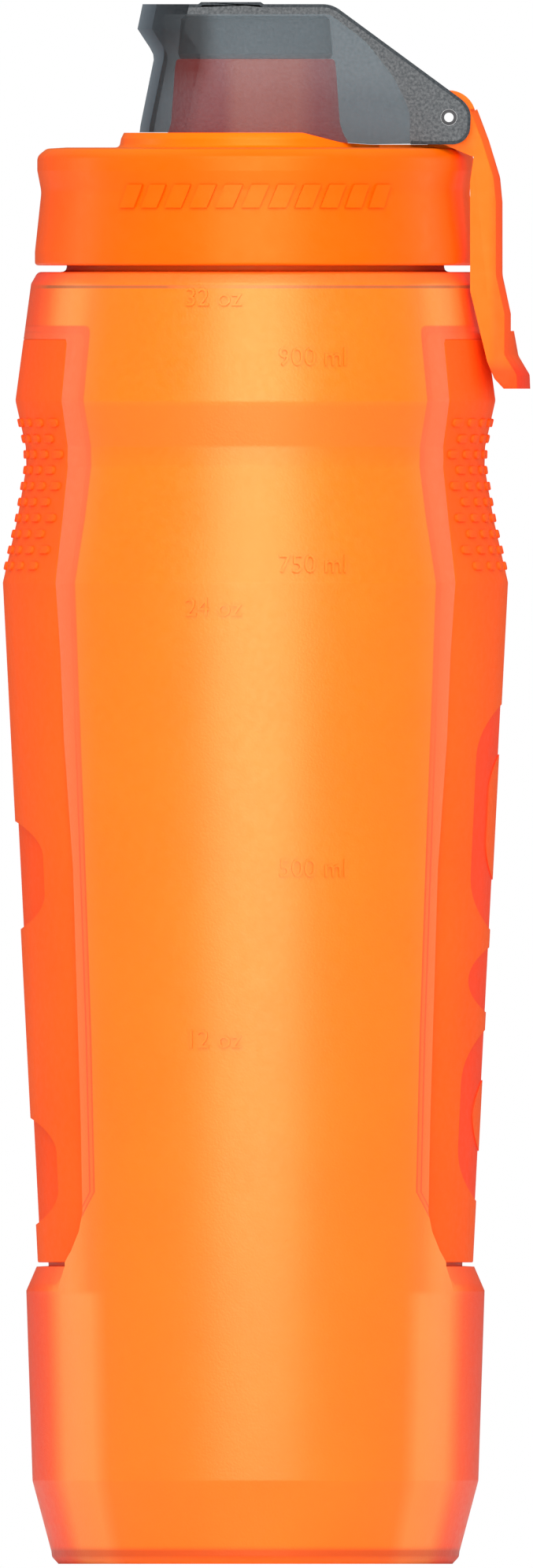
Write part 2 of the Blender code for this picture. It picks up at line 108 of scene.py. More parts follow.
# Half of the angle that a grip spans, at each height.
PANEL_HALF_ANGLE = [
    (34.0, 51.1),
    (36.8, 53.1),
    (40.0, 56.3),
    (41.6, 59.5),
    (41.8, 75.0),
    (41.3, 118.0),
    (39.2, 139.6),
    (38.7, 154.0),
    (37.6, 166.3),
    (35.8, 177.0),
    (34.8, 187.0),
    (36.0, 197.2),
    (35.6, 206.9),
    (34.9, 207.6),
]
LEDGE_HALF_ANGLE = [(30.0, 46.1), (34.0, 50.5)]
POCKET_LOW = 46.1
POCKET_SIDE_ANGLE = 0.1

# The band round each grip where the rubber shows through the bottle: its half-angle low down and high up, the
# heights between which it narrows, its lowest and highest place, and its foot as (half-angle, height) with the
# degrees that it widens by for each mm up.
BAND_HALF_ANGLES = (46.3, 44.4)
BAND_NARROWS = (90.0, 175.0)
BAND_LOW = 47.2
BAND_TOP = 210.0
BAND_FOOT = (32.1, 50.5)
BAND_FOOT_SLOPE = 1.134

NUB_ROWS = 10
NUB_TOP = 193.5
NUB_PITCH = 2.71
NUB_STEP_ANGLE = 7.7
NUB_DEEP = 1.3
NUB_WIDE = 3.1
NUB_TALL = 1.45

CAP_LOW = low("screw_cap", 2)
CAP_TOP = 240.1
CAP_CEILING = 237.2
CAP_BORE_R = 34.3
COLLAR_R = 22.8
COLLAR_TOP = 242.6
COLLAR_LOW = 240.59

HINGE_X = (low("hinge_pin", 0) + high("hinge_pin", 0)) / 2
HINGE_Z = (low("hinge_pin", 2) + high("hinge_pin", 2)) / 2
PIN_HOLE_R = 1.45
PIN_R = (high("hinge_pin", 0) - low("hinge_pin", 0)) / 2
COVER_HALF_WIDTH = high("flip_cover", 1)
COVER_WALL = 1.6
HINGE_ROOM_X = 27.4
ARM_OUTER_Y = high("carry_loop", 1)
ARM_INNER_Y = 10.6
LOOP_BAR_TOP = 209.0
BORE_HALF_LENGTH = 20.0


# ---- Shaping ------------------------------


def rounded(corners, steps=5):
    """(x, z) points of a line through (x, z, radius) corners, each rounded with its radius."""
    found = [corners[0][:2]]
    for before, corner, after in zip(corners, corners[1:], corners[2:]):
        here = Vector(corner[:2])
        back = (Vector(before[:2]) - here).normalized()
        on = (Vector(after[:2]) - here).normalized()
        half = acos(max(-1.0, min(1.0, back.dot(on)))) / 2
        if corner[2] <= 0 or half > pi / 2 - 0.01:
            found.append(tuple(here))
            continue
        room = min((Vector(before[:2]) - here).length, (Vector(after[:2]) - here).length) * 0.48
        reach = min(corner[2] / tan(half), room)
        start = here + back * reach
        end = here + on * reach
        for i in range(steps + 1):
            t = i / steps
            found.append(tuple(start * (1 - t) ** 2 + here * 2 * t * (1 - t) + end * t * t))
    found.append(corners[-1][:2])
    return found


def at_height(outline, z):
    """An outline of (value, height) pairs read at a height, on straight lines between its points."""
    for first, second in zip(outline, outline[1:]):
        if first[1] <= z <= second[1]:
            rise = second[1] - first[1]
            share = (z - first[1]) / rise if rise else 0.0
            return first[0] + (second[0] - first[0]) * share
    return outline[0][0] if z < outline[0][1] else outline[-1][0]


def new_object(bm, name):
    bmesh.ops.recalc_face_normals(bm, faces=bm.faces)
    mesh = bpy.data.meshes.new(name)
    bm.to_mesh(mesh)
    bm.free()
    obj = bpy.data.objects.new(name, mesh)
    bpy.context.scene.collection.objects.link(obj)
    return obj


def skin(bm, rings):
    """Faces between each ring of points and the next, which has as many."""
    for first, second in zip(rings, rings[1:]):
        for i in range(len(first)):
            j = (i + 1) % len(first)
            bm.faces.new((first[i], first[j], second[j], second[i]))


def turned(name, profile, steps, closed=True):
    """A profile of (radius, height) turned about Z; one that isn't closed starts and ends on the axis."""
    bm = bmesh.new()
    turns = [2 * pi * i / steps for i in range(steps)]
    rings = []
    for r, z in profile:
        if r == 0.0:
            rings.append([bm.verts.new((0.0, 0.0, z * MM))])
        else:
            rings.append([bm.verts.new((r * cos(turn) * MM, r * sin(turn) * MM, z * MM)) for turn in turns])
    pairs = list(zip(rings, rings[1:]))
    if closed:
        pairs.append((rings[-1], rings[0]))
    for first, second in pairs:
        for i in range(steps):
            j = (i + 1) % steps
            corners = [ring[k % len(ring)] for ring, k in ((first, i), (first, j), (second, j), (second, i))]
            unique = list(dict.fromkeys(corners))
            if len(unique) > 2:
                bm.faces.new(unique)
    return new_object(bm, name)


def patch(name, rows, side, shares):
    """A curved slab about Z, lofted through rows of (height, inner radius, outer radius, inner half-angle,
    outer half-angle, middle angle), with its columns at shares from -1 to 1 of the half-angle. The outer radius
    may be a function of the share. Side is 1 or -1 along X."""
    bm = bmesh.new()

    def point(r, angle, z):
        return bm.verts.new((side * r * cos(radians(angle)) * MM, r * sin(radians(angle)) * MM, z * MM))

    rings = []
    for z, r_in, r_out, half_in, half_out, middle in rows:
        ring = [point(r_in, middle + half_in * share, z) for share in shares]
        for share in shares[::-1]:
            outer = r_out(share) if callable(r_out) else r_out
            ring.append(point(outer, middle + half_out * share, z))
        rings.append(ring)
    skin(bm, rings)
    for ring in (rings[0], rings[-1]):
        for i in range(len(shares) - 1):
            j = len(ring) - 1 - i
            bm.faces.new((ring[i], ring[i + 1], ring[j - 1], ring[j]))
    return new_object(bm, name)


def even(count):
    """Places from -1 to 1, the same distance apart."""
    return [2.0 * i / count - 1.0 for i in range(count + 1)]


def slab(name, outline, half_width):
    """An outline of (x, z) extruded to both sides along Y."""
    bm = bmesh.new()
    near = [bm.verts.new((x * MM, -half_width * MM, z * MM)) for x, z in outline]
    far = [bm.verts.new((x * MM, half_width * MM, z * MM)) for x, z in outline]
    skin(bm, [near, far])
    bm.faces.new(near)
    bm.faces.new(far)
    return new_object(bm, name)


def box(name, low_corner, high_corner):
    """A block between two corners in mm."""
    outline = [(low_corner[0], low_corner[2]), (high_corner[0], low_corner[2])]
    outline += [(high_corner[0], high_corner[2]), (low_corner[0], high_corner[2])]
    made = slab(name, outline, (high_corner[1] - low_corner[1]) / 2)
    made.data.transform(Matrix.Translation((0.0, (high_corner[1] + low_corner[1]) / 2 * MM, 0.0)))
    return made


def arc(x, z, radius, start, end, count):
    """Points on a circle, angles in degrees from +X towards +Z."""
    turns = [radians(start + (end - start) * i / count) for i in range(count + 1)]
    return [(x + radius * cos(turn), z + radius * sin(turn)) for turn in turns]


def hinge_bore(radius):
    """A cutter for a hole on the hinge's axis."""
    return slab("bore", arc(HINGE_X, HINGE_Z, radius, 0.0, 352.5, 47), BORE_HALF_LENGTH)


def boolean(obj, operation, *tools):
    """Joins or cuts with tools, and removes them."""
    for tool in tools:
        modifier = obj.modifiers.new(tool.name, "BOOLEAN")
        modifier.operation = operation
        modifier.object = tool
        modifier.solver = "EXACT"
        modifier.material_mode = "TRANSFER"
        apply(obj)
        bpy.data.objects.remove(tool, do_unlink=True)
    return obj


def apply(obj):
    """Makes the object's modifiers part of its mesh."""
    bpy.context.view_layer.update()
    graph = bpy.context.evaluated_depsgraph_get()
    mesh = bpy.data.meshes.new_from_object(obj.evaluated_get(graph))
    obj.modifiers.clear()
    obj.data = mesh
    return obj


def soften(obj, width, angle, segments):
    """Rounds the edges that are sharper than an angle."""
    bm = bmesh.new()
    bm.from_mesh(obj.data)
    bmesh.ops.remove_doubles(bm, verts=bm.verts, dist=0.00002)
    bmesh.ops.dissolve_limit(
        bm, angle_limit=radians(0.3), verts=bm.verts, edges=bm.edges, delimit={"MATERIAL"}
    )
    bm.to_mesh(obj.data)
    bm.free()
    bevel = obj.modifiers.new("Rounding", "BEVEL")
    bevel.width = width * MM
    bevel.segments = segments
    bevel.limit_method = "ANGLE"
    bevel.angle_limit = radians(angle)
    bevel.harden_normals = False
    return apply(obj)


def joined(first, *others):
    """One object with the meshes of all. The others' faces take the first one's first material."""
    bm = bmesh.new()
    for obj in (first, *others):
        bm.from_mesh(obj.data)
    bm.to_mesh(first.data)
    bm.free()
    for obj in others:
        bpy.data.objects.remove(obj, do_unlink=True)
    return first


def thread_ridge(root_r, crest_r, start_z, turns, start):
    """One start of a thread: a trapezium swept up its helix, with its root sunk into the wall."""
    sunk = root_r - 0.6 if crest_r > root_r else root_r + 0.6
    section = [(sunk, -1.2), (root_r, -1.2), (crest_r, -0.6), (crest_r, 0.6), (root_r, 1.2), (sunk, 1.2)]
    bm = bmesh.new()
    rings = []
    steps = round(96 * turns)
    for i in range(steps + 1):
        angle = start + 2 * pi * turns * i / steps
        rise = start_z + THREAD_LEAD * turns * i / steps
        points = [(r * cos(angle) * MM, r * sin(angle) * MM, (z + rise) * MM) for r, z in section]
        rings.append([bm.verts.new(point) for point in points])
    skin(bm, rings)
    bm.faces.new(rings[0])
    bm.faces.new(rings[-1])
    return new_object(bm, "thread")


# ---- Materials ------------------------------


WHITE = (1.0, 1.0, 1.0)


class Look:
    """A Principled material and short calls for the nodes that feed it."""

    def __init__(self, name, colour, roughness, specular, gloss_tint=WHITE):
        self.material = bpy.data.materials.new(name)
        self.material.use_nodes = True
        self.tree = self.material.node_tree
        self.shader = self.tree.nodes["Principled BSDF"]
        self.set("Base Color", (*colour, 1.0))
        self.set("Roughness", roughness)
        self.set("Specular IOR Level", specular)
        self.set("Specular Tint", (*gloss_tint, 1.0))
        self.material.diffuse_color = (*colour, 1.0)

    def set(self, socket, value):
        self.shader.inputs[socket].default_value = value

    def node(self, kind, **inputs):
        made = self.tree.nodes.new(kind)
        for key, value in inputs.items():
            made.inputs[key].default_value = value
        return made

    def link(self, output, socket):
        self.tree.links.new(output, socket)

    def place(self):
        """The piece's own coordinates, in metres."""
        return self.node("ShaderNodeTexCoord").outputs["Object"]

    def axes(self):
        """The piece's own X, Y and Z, in mm."""
        mapping = self.node("ShaderNodeMapping", Scale=(1 / MM, 1 / MM, 1 / MM))
        self.link(self.place(), mapping.inputs["Vector"])
        made = self.node("ShaderNodeSeparateXYZ")
        self.link(mapping.outputs["Vector"], made.inputs["Vector"])
        return made.outputs["X"], made.outputs["Y"], made.outputs["Z"]

    def math(self, operation, first, second=None, third=None):
        """A math node on outputs or numbers."""
        made = self.node("ShaderNodeMath")
        made.operation = operation
        for socket, value in zip(made.inputs, (first, second, third)):
            if isinstance(value, (int, float)):
                socket.default_value = value
            elif value is not None:
                self.link(value, socket)
        return made.outputs["Value"]

    def times(self, first, second):
        return self.math("MULTIPLY", first, second)

    def blend(self, kind, factor, first, second):
        made = self.node("ShaderNodeMix")
        made.data_type = "RGBA"
        made.blend_type = kind
        sockets = {socket.identifier: socket for socket in made.inputs}
        if isinstance(factor, float):
            sockets["Factor_Float"].default_value = factor
        else:
            self.link(factor, sockets["Factor_Float"])
        self.link(first, sockets["A_Color"])
        self.link(second, sockets["B_Color"])
        return next(socket for socket in made.outputs if socket.identifier == "Result_Color")

    def tint(self, kind, mask, tone, faint, full):
        """The tone blended by a mask with a colour that runs from faint to full as the mask does."""
        return self.blend(kind, mask, tone, self.ramp(mask, (0.0, faint), (1.0, full)))

    def noise(self, scale, detail=3.0, roughness=0.5):
        made = self.node("ShaderNodeTexNoise", Scale=scale, Detail=detail, Roughness=roughness)
        self.link(self.place(), made.inputs["Vector"])
        return made.outputs["Fac"]

    def ramp(self, factor, *stops):
        """A colour ramp through (position, colour) stops."""
        made = self.node("ShaderNodeValToRGB")
        elements = made.color_ramp.elements
        while len(elements) < len(stops):
            elements.new(0.5)
        for element, (position, colour) in zip(elements, stops):
            element.position = position
            element.color = (*colour, 1.0)
        self.link(factor, made.inputs["Fac"])
        return made.outputs["Color"]

    def spread(self, factor, low_value, high_value, low_in=0.3, high_in=0.7):
        """The values that a factor takes between two inputs, and no further."""
        made = self.node("ShaderNodeMapRange")
        made.inputs["From Min"].default_value = low_in
        made.inputs["From Max"].default_value = high_in
        made.inputs["To Min"].default_value = low_value
        made.inputs["To Max"].default_value = high_value
        self.link(factor, made.inputs["Value"])
        return made.outputs["Result"]

    def rise(self, factor, start, end):
        """0 up to the start and 1 past the end."""
        return self.spread(factor, 0.0, 1.0, start, end)

    def fall(self, factor, start, end):
        """1 up to the start and 0 past the end."""
        return self.spread(factor, 1.0, 0.0, start, end)

    def ridge(self, value, middle, full, none):
        """1 nearer to the middle than full, and 0 further from it than none."""
        off = self.math("ABSOLUTE", self.math("SUBTRACT", value, middle))
        return self.fall(off, full, none)

    def bump(self, *layers):
        """Bumps in metres: (height output, distance) layers, one on another."""
        normal = None
        for height, distance in layers:
            made = self.node("ShaderNodeBump", Distance=distance)
            self.link(height, made.inputs["Height"])
            if normal:
                self.link(normal, made.inputs["Normal"])
            normal = made.outputs["Normal"]
        self.link(normal, self.shader.inputs["Normal"])

    def colour(self, output):
        self.link(output, self.shader.inputs["Base Color"])

    def roughness(self, output):
        self.link(output, self.shader.inputs["Roughness"])


# The bottle's orange from its front to its side, with painted light in it: a lighter painted highlight band
# part way round, and redder, darker painted shade towards the side.
SIDE_TONES_WITH_PAINTED_LIGHT = [
    (0.0, (1.0, 0.148, 0.002)),
    (0.15, (1.0, 0.150, 0.008)),
    (0.27, (1.0, 0.188, 0.018)),
    (0.36, (1.0, 0.205, 0.028)),
    (0.47, (1.0, 0.205, 0.032)),
    (0.54, (1.0, 0.170, 0.022)),
    (0.66, (1.0, 0.102, 0.010)),
    (0.83, (1.0, 0.068, 0.006)),
    (1.0, (1.0, 0.070, 0.006)),
]


def side_angle(look, x, y):
    """The angle round Z from the X axis, towards either side, in radians."""
    return look.math("ARCTAN2", look.math("ABSOLUTE", y), look.math("ABSOLUTE", x))


def wall_tone(look, z, side):
    """Orange from the side tones with their painted light, painted shade on the waist and, on the base, a
    painted highlight stripe, redder painted shade towards the sides and a dark line at the foot.
    """
    tone = look.ramp(side, *SIDE_TONES_WITH_PAINTED_LIGHT)
    # Painted shade on the waist, where the surface turns down.
    waist = look.times(look.rise(z, 185.5, 190.0), look.fall(z, 196.2, 197.2))
    tone = look.tint("MULTIPLY", waist, tone, (1.0, 0.88, 0.80), (1.0, 0.87, 0.80))
    base = look.fall(z, 45.5, 46.5)
    # A painted highlight stripe on the base, part way round to each side.
    painted_highlight_stripe = look.times(look.times(look.rise(side, 0.02, 0.16), look.fall(side, 0.44, 0.50)), base)
    tone = look.tint("MIX", painted_highlight_stripe, tone, (1.0, 0.190, 0.022), (1.0, 0.215, 0.034))
    foot_line = look.ridge(z, 1.8, 0.4, 1.3)
    tone = look.tint("MULTIPLY", foot_line, tone, (0.90, 0.70, 0.60), (0.64, 0.38, 0.40))
    # Redder painted shade towards the base's sides.
    edge = look.times(base, look.rise(side, 0.45, 0.65))
    return look.tint("MULTIPLY", edge, tone, (1.0, 0.72, 0.50), (1.0, 0.70, 0.50))


def shoulder_tone(look, z, side, tone):
    """A thin broken line low on the shoulder, and redder painted shade above it, under the cap."""
    line = look.ridge(z, LINE_HEIGHT, 0.16, 0.40)
    line = look.times(line, look.spread(look.noise(45.0, 1.0), 0.1, 0.95, 0.42, 0.58))
    tone = look.tint("MIX", line, tone, (0.55, 0.11, 0.03), (0.34, 0.09, 0.03))
    # Painted shade under the cap, redder still towards the sides.
    shoulder = look.spread(z, 0.0, 0.75, LINE_HEIGHT - 0.2, LINE_HEIGHT + 1.5)
    painted_shade_under_cap = look.ramp(side, (0.0, (1.0, 0.115, 0.012)), (1.0, (1.0, 0.05, 0.02)))
    return look.blend("MIX", shoulder, tone, painted_shade_under_cap)


def band_depth(look, z, angle):
    """How far a place is inside the band round a grip, in radians; below 0 outside it."""
    wide, narrow = (radians(half) for half in BAND_HALF_ANGLES)
    side = look.math("SUBTRACT", look.spread(z, wide, narrow, *BAND_NARROWS), angle)
    slope = radians(BAND_FOOT_SLOPE)
    foot_half = look.math("MULTIPLY_ADD", z, slope, radians(BAND_FOOT[0]) - slope * BAND_FOOT[1])
    foot = look.math("SUBTRACT", foot_half, angle)
    above_low = look.times(look.math("SUBTRACT", z, BAND_LOW), 0.04)
    below_top = look.times(look.math("SUBTRACT", BAND_TOP, z), 0.025)
    corner = look.math("SMOOTH_MIN", side, below_top, 0.06)
    return look.math("MINIMUM", corner, look.math("MINIMUM", foot, above_low))


def band_tone(look, z, angle, tone):
    """Pink on the band round each grip, and two thin darker lines of painted shade just inside its outline,
    where its edge steps down.
    """
    depth = band_depth(look, z, angle)
    mottled = look.math("MULTIPLY_ADD", look.noise(160.0, 3.0), 0.02, depth)
    stops = [(0.1, (1.0, 0.060, 0.012)), (0.4, (1.0, 0.080, 0.018)), (1.0, (1.0, 0.092, 0.022))]
    pink = look.ramp(look.rise(mottled, 0.0, 0.05), *stops)
    share = look.times(look.rise(depth, 0.0, 0.008), look.spread(z, 0.55, 1.0, 60.0, 160.0))
    tone = look.blend("MIX", share, tone, pink)
    # Two thin lines of painted shade along the band's edge.
    outer, inner = (look.ridge(depth, middle, 0.0025, 0.006) for middle in (0.004, 0.03))
    lines = look.times(look.math("MAXIMUM", outer, inner), look.spread(z, 0.75, 0.2, 120.0, 150.0))
    lines = look.times(lines, look.rise(z, 50.6, 52.5))
    return look.tint("MIX", lines, tone, (0.70, 0.05, 0.01), (0.60, 0.035, 0.01))


def bottle_look():
    """Frosted translucent orange, with red from the grips showing through in a band beside them, and painted
    highlight bands and painted shade on the waist, towards the sides and under the cap.
    """
    look = Look("frosted_orange", (1.0, 0.165, 0.002), 0.36, 0.8, (1.0, 1.0, 0.5))
    x, y, z = look.axes()
    angle = side_angle(look, x, y)
    side = look.fall(angle, radians(10.0), radians(50.0))
    mottle = look.ramp(look.noise(55.0, 4.0), (0.3, (0.96, 0.93, 0.92)), (0.7, WHITE))
    tone = look.blend("MULTIPLY", 1.0, wall_tone(look, z, side), mottle)
    tone = shoulder_tone(look, z, side, tone)
    look.colour(band_tone(look, z, angle, tone))
    look.roughness(look.spread(look.noise(900.0), 0.32, 0.42))
    look.set("Subsurface Weight", 0.15)
    look.set("Subsurface Radius", (1.0, 0.35, 0.1))
    look.set("Subsurface Scale", 0.002)
    look.bump((look.noise(2600.0, 2.0), 0.00003), (look.noise(70.0, 2.0), 0.00008))
    return look.material


def grip_look(name, colour, darker):
    """Matt rubber with a fine moulded grain, a little darker from the waist up."""
    look = Look(name, colour, 0.62, 0.2, (1.0, 0.8, 0.5))
    z = look.axes()[2]
    tone = look.ramp(look.noise(60.0, 4.0), (0.3, darker), (0.7, colour))
    waist = look.ramp(look.rise(z, 158.0, 180.0), (0.0, WHITE), (1.0, (1.0, 0.84, 0.75)))
    look.colour(look.blend("MULTIPLY", 1.0, tone, waist))
    look.roughness(look.spread(look.noise(700.0), 0.52, 0.66))
    look.bump((look.noise(3200.0, 2.0), 0.00003))
    return look.material


def satin(look, roughness, *bumps):
    """The fine grain and slightly uneven gloss of moulded plastic, with any coarser bumps."""
    look.roughness(look.spread(look.noise(500.0), roughness - 0.06, roughness + 0.06))
    look.bump((look.noise(2400.0, 2.0), 0.00002), *bumps)


def cap_look():
    """Satin orange, with the wall darker and redder than the collar and top, which are lighter and yellower as
    painted light from above.
    """
    look = Look("cap_orange", (1.0, 0.1, 0.0004), 0.36, 0.3, (1.0, 1.0, 0.3))
    # The wall below the top is darker: the top and collar keep the lighter painted light from above.
    wall = look.fall(look.axes()[2], 238.5, 240.0)
    tone = look.ramp(look.noise(45.0, 4.0), (0.3, (0.98, 0.150, 0.0004)), (0.65, (1.0, 0.162, 0.0004)))
    look.colour(look.tint("MULTIPLY", wall, tone, (1.0, 0.62, 1.0), (1.0, 0.60, 1.0)))
    satin(look, 0.37, (look.noise(90.0, 1.0), 0.00004))
    return look.material


# Painted light: the nozzle's glow, though it is no lamp, which is what shows through the smoky cover.
PAINTED_GLOW = 0.48


def nozzle_look():
    """Soft orange with a painted highlight band where it faces the front, painted shade towards its sides and a
    painted glow.
    """
    look = Look("nozzle_orange", (1.0, 0.11, 0.03), 0.42, 0.9, (1.0, 0.85, 0.85))
    x = look.axes()[0]
    front = look.times(look.rise(x, -5.6, -3.2), look.fall(x, 7.0, 10.5))
    # A painted glow, brightest on the front.
    painted_glow = look.ramp(front, (0.0, (0.70, 0.022, 0.010)), (1.0, (1.0, 0.145, 0.09)))
    look.link(painted_glow, look.shader.inputs["Emission Color"])
    look.set("Emission Strength", PAINTED_GLOW)
    # The base colour also has the painted highlight on the front and painted shade on the sides.
    tone = look.ramp(front, (0.0, (0.85, 0.035, 0.006)), (1.0, (1.0, 0.19, 0.070)))
    grain = look.ramp(look.noise(45.0, 4.0), (0.3, (0.95, 0.92, 0.90)), (0.65, WHITE))
    look.colour(look.blend("MULTIPLY", 1.0, tone, grain))
    satin(look, 0.43)
    return look.material


def loop_look():
    """Satin orange, redder on the loop's lip and darker on its inner side."""
    look = Look("loop_orange", (1.0, 0.11, 0.002), 0.4, 0.3, (1.0, 1.0, 0.38))
    x, _, z = look.axes()
    tone = look.ramp(look.noise(45.0, 4.0), (0.3, (0.98, 0.106, 0.002)), (0.65, (1.0, 0.116, 0.002)))
    tone = look.tint("MULTIPLY", look.rise(x, 39.5, 40.8), tone, (1.0, 0.75, 0.8), (1.0, 0.72, 0.8))
    lip = look.fall(z, 202.2, 204.5)
    look.colour(look.tint("MIX", lip, tone, (1.0, 0.060, 0.002), (1.0, 0.035, 0.001)))
    satin(look, 0.41)
    return look.material


def smoke_zones(look, tone):
    """Painted shadow in the nose at the top, beside the stopper, and a little darker low down."""
    x, _, z = look.axes()
    top = look.rise(z, 248.0, 253.5)
    below = look.math("SUBTRACT", 1.0, top)
    tone = look.tint("MULTIPLY", below, tone, (0.80, 0.80, 0.82), (0.70, 0.72, 0.74))
    # Painted shadow beside the stopper, at the top of the nose.
    nose = look.times(look.fall(x, -9.5, -6.0), top)
    return look.tint("MULTIPLY", nose, tone, (0.45, 0.40, 0.38), (0.40, 0.34, 0.32))


def let_through(look, share):
    """Lets a share of the light straight through, dimmed by the plastic's thickness."""
    clear = look.node("ShaderNodeBsdfTransparent", Color=(0.935, 0.955, 0.965, 1.0))
    mix = look.node("ShaderNodeMixShader", Fac=1.0 - share)
    look.link(clear.outputs["BSDF"], mix.inputs[1])
    look.link(look.shader.outputs["BSDF"], mix.inputs[2])
    output = look.tree.nodes["Material Output"]
    look.link(mix.outputs["Shader"], output.inputs["Surface"])
    fog = look.node("ShaderNodeVolumeAbsorption", Color=(0.62, 0.65, 0.675, 1.0), Density=300.0)
    look.link(fog.outputs["Volume"], output.inputs["Volume"])


def cover_look(name, dark, light, specular, open_share=0.0, zoned=False):
    """Smoke-grey plastic with a spark-eroded grain, translucent where a share of it is open to the light."""
    look = Look(name, light, 0.36, specular)
    grain = look.noise(2100.0, 2.0, 0.6)
    tone = look.ramp(grain, (0.35, dark), (0.65, light))
    look.colour(smoke_zones(look, tone) if zoned else tone)
    look.roughness(look.spread(grain, 0.30, 0.46))
    look.bump((grain, 0.00005))
    if open_share > 0.0:
        let_through(look, open_share)
    return look.material


def silicone_look(name, colour):
    """Soft satin silicone or plastic in one tone."""
    look = Look(name, colour, 0.4, 0.3)
    look.colour(look.ramp(look.noise(80.0, 3.0), (0.3, tuple(c * 0.92 for c in colour)), (0.7, colour)))
    look.roughness(look.spread(look.noise(600.0), 0.34, 0.5))
    look.bump((look.noise(1800.0, 2.0), 0.00002))
    return look.material


def paint(obj, *materials):
    """Adds materials to an object's slots."""
    for material in materials:
        obj.data.materials.append(material)
    return obj


def dress(obj, material, angle=30.0):
    """Gives a piece its material, unless its faces have theirs, and shades it smooth up to an angle."""
    if not any(obj.data.materials):
        obj.data.materials.clear()
        paint(obj, material)
    obj.data.shade_smooth()
    obj.data.set_sharp_from_angle(angle=radians(angle))
    return obj


def settle(obj, body, slot, *nodes):
    """The piece rides on a body and stands for CAD nodes. The slot is not used."""
    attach(obj, body)
    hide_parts(*nodes)


# ---- Bottle ------------------------------

BODY_LINE = rounded(BODY_OUTLINE, 6)
WIDEST_Z = BODY_OUTLINE[5][1]

# Moulded volume marks: (text, middle x, middle z).
VOLUME_MARKS = [("32 oz", -7.2, 214.6), ("900 ml", 9.9, 204.5), ("750 ml", 9.9, 169.4)]
VOLUME_MARKS += [("24 oz", -7.2, 162.0), ("500 ml", 9.9, 117.8), ("12 oz", -7.2, 88.8)]
MARK_SIZE = 4.4
MARK_PROUD = 0.3


def body_r(z):
    """The bottle's outer radius at a height."""
    return at_height(BODY_LINE, z)


def panel_r(z):
    """The grip's face: flush with the bottle from its widest place up, and straight below that."""
    if z >= WIDEST_Z:
        return body_r(z)
    share = (z - PANEL_LOW) / (WIDEST_Z - PANEL_LOW)
    return PANEL_FOOT_R + (body_r(WIDEST_Z) - PANEL_FOOT_R) * share


def floor_r(z):
    """The radius of the pocket's floor at a height."""
    return panel_r(z) - PANEL_THICK - PANEL_GAP


def heights(start, end, step, *outlines):
    """Heights from start to end about a step apart, with each turn of the outlines among them."""
    turns = {start, end}
    for outline in outlines:
        turns |= {point[1] for point in outline if start < point[1] < end}
    found = []
    for first, second in zip(sorted(turns), sorted(turns)[1:]):
        parts = max(1, round((second - first) / step))
        found += [first + (second - first) * i / parts for i in range(parts)]
    return found + [end]


def thinned(values, least):
    """Sorted values with those closer than least to the one before left out."""
    kept = [values[0]]
    for value in values[1:]:
        if value - kept[-1] >= least:
            kept.append(value)
    return kept


def pocket(side):
    """A cutter for the pocket that a grip lies in."""
    low_floor = PANEL_LOW - 2 * PANEL_GAP
    top = PANEL_HIGH + 0.05
    floor = [(body_r(POCKET_LOW) + 0.1, POCKET_LOW), (body_r(POCKET_LOW) - 1.75, low_floor - 0.1)]
    floor += [(floor_r(z), z) for z in thinned(heights(low_floor, top, 4.0, BODY_LINE), 0.25)]
    rows = []
    for z in thinned(heights(POCKET_LOW, top, 4.0, floor, PANEL_HALF_ANGLE, LEDGE_HALF_ANGLE), 0.05):
        half = at_height(PANEL_HALF_ANGLE, z) + POCKET_SIDE_ANGLE
        if z < PANEL_LOW:
            half = at_height(LEDGE_HALF_ANGLE, z)
        rows.append((z, at_height(floor, z), body_r(z) + 0.6, half, half, 0.0))
    return patch("pocket", rows, side, even(36))


def backing(side):
    """More wall behind a grip, so that its pocket doesn't cut through."""
    start = POCKET_LOW - 2.0
    end = PANEL_HIGH + 3.3
    back = [(body_r(start) - WALL - PANEL_GAP, start)]
    back += [(floor_r(z) - WALL, z) for z in heights(PANEL_LOW - 2.0, PANEL_HIGH + 1.0, 12.0)]
    back += [(body_r(end) - WALL - PANEL_GAP, end)]
    rows = []
    for z in heights(start, end, 4.0, back):
        rows.append((z, at_height(back, z), body_r(z) - WALL / 2, 47.5, 47.5, 0.0))
    return patch("backing", rows, side, even(24))


def bottle():
    outside = BODY_LINE[::-1]
    inside = [(r - WALL, max(z, WALL)) for r, z in BODY_LINE if z < SHOULDER - 2.0]
    profile = [(NECK_BORE_R + 0.3, NECK_TOP), (NECK_R - 0.4, NECK_TOP), (NECK_R, NECK_TOP - 0.4)]
    profile += [(NECK_R, SHOULDER + 0.8), (NECK_R + 0.15, SHOULDER + 0.35), (NECK_R + 0.5, SHOULDER + 0.08)]
    profile += [(NECK_R + 1.0, SHOULDER)] + outside + [(0.0, 0.0), (0.0, WALL)] + inside
    profile += [(NECK_BORE_R + 0.8, SHOULDER - WALL), (NECK_BORE_R, SHOULDER - 0.6)]
    profile += [(NECK_BORE_R, NECK_TOP - 0.3)]
    made = turned("bottle_shell", profile, BODY_STEPS)
    boolean(made, "UNION", backing(-1.0), backing(1.0))
    boolean(made, "DIFFERENCE", pocket(-1.0), pocket(1.0))
    for i in range(THREAD_STARTS):
        boolean(made, "UNION", thread_ridge(NECK_R, 33.3, 222.6, 0.62, 2 * pi * i / THREAD_STARTS))
    made = joined(made, *(volume_mark(*mark) for mark in VOLUME_MARKS))
    dress(made, bottle_look(), 28.0)
    settle(made, "bottle", "bottle_plastic", "bottle_body")


